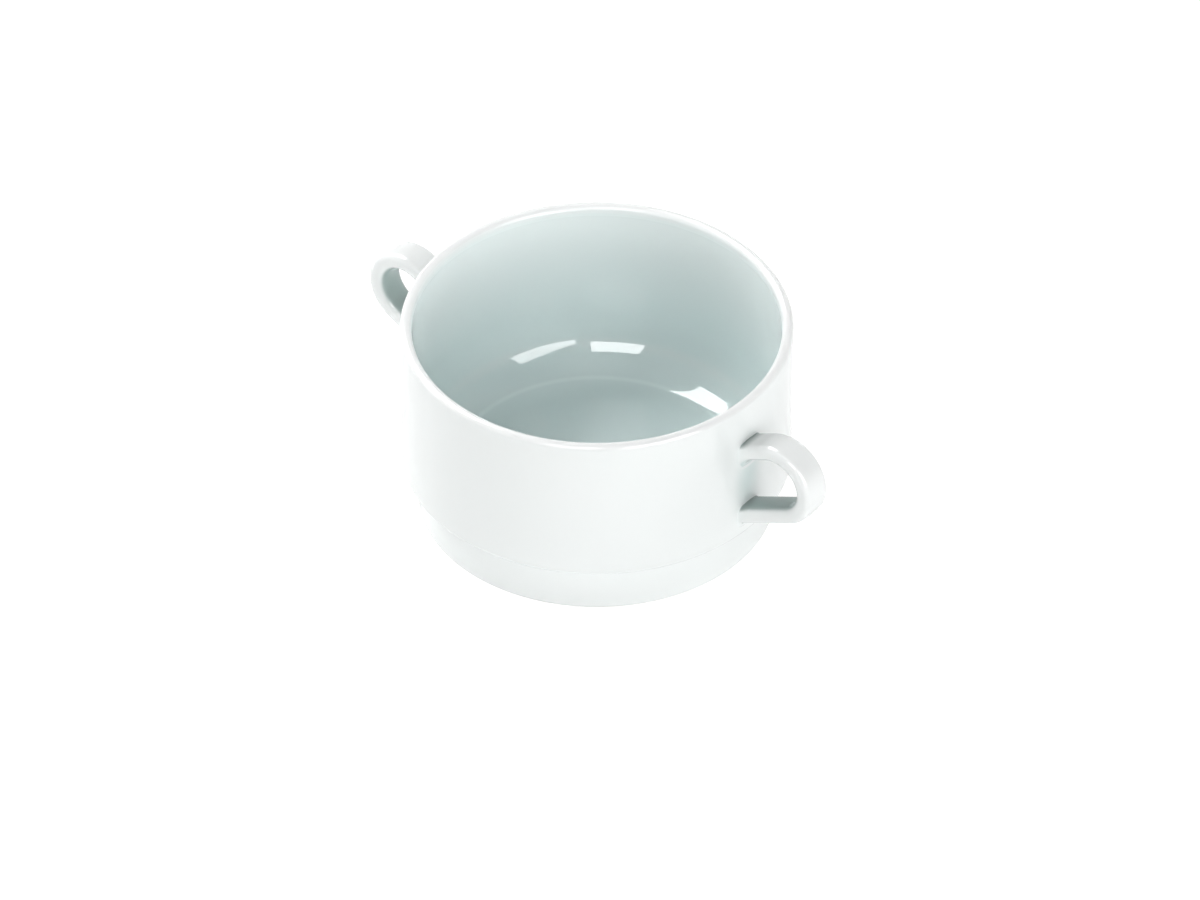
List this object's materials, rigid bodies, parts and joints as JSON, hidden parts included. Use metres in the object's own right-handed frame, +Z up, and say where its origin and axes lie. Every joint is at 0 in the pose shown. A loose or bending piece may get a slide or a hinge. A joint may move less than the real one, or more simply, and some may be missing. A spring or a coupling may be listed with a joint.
{
  "type": "soup bowl",
  "caption": "Stackable white glazed porcelain soup bowl with straight walls, a stepped base, a foot ring and a pair of upswept strap handles.",
  "frame": {"origin": "on the bowl's axis, in the plane that the foot ring stands on", "axes": "+Z up along the bowl's axis, +X towards one handle, -X towards the other"},
  "size_m": [0.151, 0.104, 0.0585],
  "materials": {
    "glazed_porcelain": "clear glossy glaze on white porcelain, with the foot ring left bare",
    "luting_slip": "fired porcelain slip under the same clear glaze"
  },
  "bodies": {
    "root": {"bowl_body": "glazed_porcelain", "handle_right": "glazed_porcelain", "handle_left": "glazed_porcelain", "slip_joint_right_upper": "luting_slip", "slip_joint_right_lower": "luting_slip", "slip_joint_left_upper": "luting_slip", "slip_joint_left_lower": "luting_slip"}
  },
  "joints": []
}
